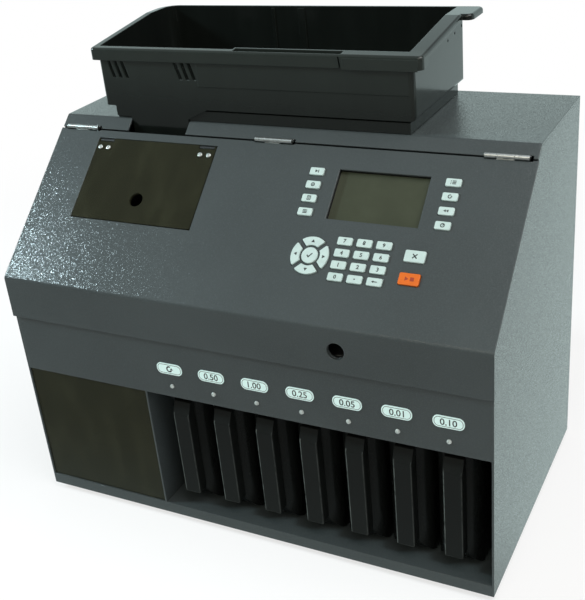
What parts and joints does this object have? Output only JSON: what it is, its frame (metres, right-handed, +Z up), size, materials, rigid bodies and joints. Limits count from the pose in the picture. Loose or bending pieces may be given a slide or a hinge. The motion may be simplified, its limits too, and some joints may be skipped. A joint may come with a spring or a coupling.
{
  "type": "coin sorting machine",
  "caption": "Desktop coin sorting machine: sheet-metal cabinet with a sloping hinged lid, keypad and display, a loose coin tray on top and a row of pull-out coin bins below.",
  "frame": {"origin": "on the ground under the middle of the machine's box", "axes": "+X to the right seen from the front, +Y to the back, +Z up"},
  "size_m": [0.5524, 0.316, 0.5184],
  "materials": {
    "grey_paint": "fine textured powder coat",
    "smoked_pane": "polished smoked sheet",
    "bright_nickel": "bright nickel plate",
    "label_white": "printed white plastic",
    "lens_clear": "milky lens",
    "foot_rubber": "matt rubber",
    "deck_aluminium": "brushed plate",
    "chute_plastic": "moulded",
    "motor_steel": "zinc plated can",
    "board_green": "solder mask",
    "inlet_black": "moulded",
    "display_glass": "satin display cover",
    "tray_black": "glossy moulded",
    "bin_black": "satin moulded",
    "start_orange": "satin key",
    "key_white": "satin key"
  },
  "bodies": {
    "cabinet": {"base_pan": "grey_paint", "left_side_panel": "grey_paint", "right_side_panel": "grey_paint", "rear_panel": "grey_paint", "top_cover": "grey_paint", "front_skirt": "grey_paint", "side_window": "smoked_pane", "bay_divider": "grey_paint", "cabinet_hinge_halves": "bright_nickel", "bin_label_plates": "label_white", "indicator_lenses": "lens_clear", "rubber_feet": "foot_rubber", "sorting_deck": "deck_aluminium", "coin_chutes": "chute_plastic", "gear_motor": "motor_steel", "control_board": "board_green", "power_inlet": "inlet_black"},
    "lid": {"lid_panel": "grey_paint", "lid_hinge_halves": "bright_nickel", "display_module": "display_glass", "keypad_board": "board_green"},
    "flap": {"flap_window": "smoked_pane", "flap_hinges": "bright_nickel"},
    "tray": {"coin_tray": "tray_black"},
    "disc": {"feed_disc": "deck_aluminium"},
    "rocker": {"power_rocker": "inlet_black"},
    "coin_bin_1": {"coin_bin_1": "bin_black"},
    "coin_bin_2": {"coin_bin_2": "bin_black"},
    "coin_bin_3": {"coin_bin_3": "bin_black"},
    "coin_bin_4": {"coin_bin_4": "bin_black"},
    "coin_bin_5": {"coin_bin_5": "bin_black"},
    "coin_bin_6": {"coin_bin_6": "bin_black"},
    "coin_bin_7": {"coin_bin_7": "bin_black"},
    "key_left_1": {"key_left_1": "key_white"},
    "key_left_2": {"key_left_2": "key_white"},
    "key_left_3": {"key_left_3": "key_white"},
    "key_left_4": {"key_left_4": "key_white"},
    "key_right_1": {"key_right_1": "key_white"},
    "key_right_2": {"key_right_2": "key_white"},
    "key_right_3": {"key_right_3": "key_white"},
    "key_right_4": {"key_right_4": "key_white"},
    "key_7": {"key_7": "key_white"},
    "key_8": {"key_8": "key_white"},
    "key_9": {"key_9": "key_white"},
    "key_4": {"key_4": "key_white"},
    "key_5": {"key_5": "key_white"},
    "key_6": {"key_6": "key_white"},
    "key_1": {"key_1": "key_white"},
    "key_2": {"key_2": "key_white"},
    "key_3": {"key_3": "key_white"},
    "key_0": {"key_0": "key_white"},
    "key_point": {"key_point": "key_white"},
    "key_back": {"key_back": "key_white"},
    "key_clear": {"key_clear": "key_white"},
    "key_start": {"key_start": "start_orange"},
    "key_up": {"key_up": "key_white"},
    "key_left": {"key_left": "key_white"},
    "key_down": {"key_down": "key_white"},
    "key_right": {"key_right": "key_white"},
    "key_ok": {"key_ok": "key_white"}
  },
  "joints": [
    {"name": "lid_hinge", "type": "hinge", "parent": "cabinet", "child": "lid", "pos_m": [0, -0.01486, 0.41597], "axis": [-1, 0, 0], "range_deg": [0, 60]},
    {"name": "flap_hinge", "type": "hinge", "parent": "lid", "child": "flap", "pos_m": [-0.1415, -0.02409, 0.40527], "axis": [-1, 0, 0], "range_deg": [0, 75]},
    {"name": "tray_lift", "type": "slide", "parent": "cabinet", "child": "tray", "axis": [0, 0, 1], "range_m": [0, 0.12]},
    {"name": "disc_spin", "type": "hinge", "parent": "cabinet", "child": "disc", "pos_m": [-0.1415, -0.03499, 0.251], "axis": [0, 0, 1], "continuous": true},
    {"name": "rocker_tip", "type": "hinge", "parent": "cabinet", "child": "rocker", "pos_m": [-0.185, 0.149, 0.0895], "axis": [1, 0, 0], "range_deg": [0, 16]},
    {"name": "coin_bin_1_slide", "type": "slide", "parent": "cabinet", "child": "coin_bin_1", "axis": [0, -1, 0], "range_m": [0, 0.24]},
    {"name": "coin_bin_2_slide", "type": "slide", "parent": "cabinet", "child": "coin_bin_2", "axis": [0, -1, 0], "range_m": [0, 0.24]},
    {"name": "coin_bin_3_slide", "type": "slide", "parent": "cabinet", "child": "coin_bin_3", "axis": [0, -1, 0], "range_m": [0, 0.24]},
    {"name": "coin_bin_4_slide", "type": "slide", "parent": "cabinet", "child": "coin_bin_4", "axis": [0, -1, 0], "range_m": [0, 0.24]},
    {"name": "coin_bin_5_slide", "type": "slide", "parent": "cabinet", "child": "coin_bin_5", "axis": [0, -1, 0], "range_m": [0, 0.24]},
    {"name": "coin_bin_6_slide", "type": "slide", "parent": "cabinet", "child": "coin_bin_6", "axis": [0, -1, 0], "range_m": [0, 0.24]},
    {"name": "coin_bin_7_slide", "type": "slide", "parent": "cabinet", "child": "coin_bin_7", "axis": [0, -1, 0], "range_m": [0, 0.24]},
    {"name": "key_left_1_press", "type": "slide", "parent": "lid", "child": "key_left_1", "axis": [0, 0.6626, -0.749], "range_m": [0, 0.0012], "stiffness_N_per_m": 400},
    {"name": "key_left_2_press", "type": "slide", "parent": "lid", "child": "key_left_2", "axis": [0, 0.6626, -0.749], "range_m": [0, 0.0012], "stiffness_N_per_m": 400},
    {"name": "key_left_3_press", "type": "slide", "parent": "lid", "child": "key_left_3", "axis": [0, 0.6626, -0.749], "range_m": [0, 0.0012], "stiffness_N_per_m": 400},
    {"name": "key_left_4_press", "type": "slide", "parent": "lid", "child": "key_left_4", "axis": [0, 0.6626, -0.749], "range_m": [0, 0.0012], "stiffness_N_per_m": 400},
    {"name": "key_right_1_press", "type": "slide", "parent": "lid", "child": "key_right_1", "axis": [0, 0.6626, -0.749], "range_m": [0, 0.0012], "stiffness_N_per_m": 400},
    {"name": "key_right_2_press", "type": "slide", "parent": "lid", "child": "key_right_2", "axis": [0, 0.6626, -0.749], "range_m": [0, 0.0012], "stiffness_N_per_m": 400},
    {"name": "key_right_3_press", "type": "slide", "parent": "lid", "child": "key_right_3", "axis": [0, 0.6626, -0.749], "range_m": [0, 0.0012], "stiffness_N_per_m": 400},
    {"name": "key_right_4_press", "type": "slide", "parent": "lid", "child": "key_right_4", "axis": [0, 0.6626, -0.749], "range_m": [0, 0.0012], "stiffness_N_per_m": 400},
    {"name": "key_7_press", "type": "slide", "parent": "lid", "child": "key_7", "axis": [0, 0.6626, -0.749], "range_m": [0, 0.0012], "stiffness_N_per_m": 400},
    {"name": "key_8_press", "type": "slide", "parent": "lid", "child": "key_8", "axis": [0, 0.6626, -0.749], "range_m": [0, 0.0012], "stiffness_N_per_m": 400},
    {"name": "key_9_press", "type": "slide", "parent": "lid", "child": "key_9", "axis": [0, 0.6626, -0.749], "range_m": [0, 0.0012], "stiffness_N_per_m": 400},
    {"name": "key_4_press", "type": "slide", "parent": "lid", "child": "key_4", "axis": [0, 0.6626, -0.749], "range_m": [0, 0.0012], "stiffness_N_per_m": 400},
    {"name": "key_5_press", "type": "slide", "parent": "lid", "child": "key_5", "axis": [0, 0.6626, -0.749], "range_m": [0, 0.0012], "stiffness_N_per_m": 400},
    {"name": "key_6_press", "type": "slide", "parent": "lid", "child": "key_6", "axis": [0, 0.6626, -0.749], "range_m": [0, 0.0012], "stiffness_N_per_m": 400},
    {"name": "key_1_press", "type": "slide", "parent": "lid", "child": "key_1", "axis": [0, 0.6626, -0.749], "range_m": [0, 0.0012], "stiffness_N_per_m": 400},
    {"name": "key_2_press", "type": "slide", "parent": "lid", "child": "key_2", "axis": [0, 0.6626, -0.749], "range_m": [0, 0.0012], "stiffness_N_per_m": 400},
    {"name": "key_3_press", "type": "slide", "parent": "lid", "child": "key_3", "axis": [0, 0.6626, -0.749], "range_m": [0, 0.0012], "stiffness_N_per_m": 400},
    {"name": "key_0_press", "type": "slide", "parent": "lid", "child": "key_0", "axis": [0, 0.6626, -0.749], "range_m": [0, 0.0012], "stiffness_N_per_m": 400},
    {"name": "key_point_press", "type": "slide", "parent": "lid", "child": "key_point", "axis": [0, 0.6626, -0.749], "range_m": [0, 0.0012], "stiffness_N_per_m": 400},
    {"name": "key_back_press", "type": "slide", "parent": "lid", "child": "key_back", "axis": [0, 0.6626, -0.749], "range_m": [0, 0.0012], "stiffness_N_per_m": 400},
    {"name": "key_clear_press", "type": "slide", "parent": "lid", "child": "key_clear", "axis": [0, 0.6626, -0.749], "range_m": [0, 0.0012], "stiffness_N_per_m": 400},
    {"name": "key_start_press", "type": "slide", "parent": "lid", "child": "key_start", "axis": [0, 0.6626, -0.749], "range_m": [0, 0.0012], "stiffness_N_per_m": 400},
    {"name": "key_up_press", "type": "slide", "parent": "lid", "child": "key_up", "axis": [0, 0.6626, -0.749], "range_m": [0, 0.0012], "stiffness_N_per_m": 400},
    {"name": "key_left_press", "type": "slide", "parent": "lid", "child": "key_left", "axis": [0, 0.6626, -0.749], "range_m": [0, 0.0012], "stiffness_N_per_m": 400},
    {"name": "key_down_press", "type": "slide", "parent": "lid", "child": "key_down", "axis": [0, 0.6626, -0.749], "range_m": [0, 0.0012], "stiffness_N_per_m": 400},
    {"name": "key_right_press", "type": "slide", "parent": "lid", "child": "key_right", "axis": [0, 0.6626, -0.749], "range_m": [0, 0.0012], "stiffness_N_per_m": 400},
    {"name": "key_ok_press", "type": "slide", "parent": "lid", "child": "key_ok", "axis": [0, 0.6626, -0.749], "range_m": [0, 0.0012], "stiffness_N_per_m": 400}
  ]
}
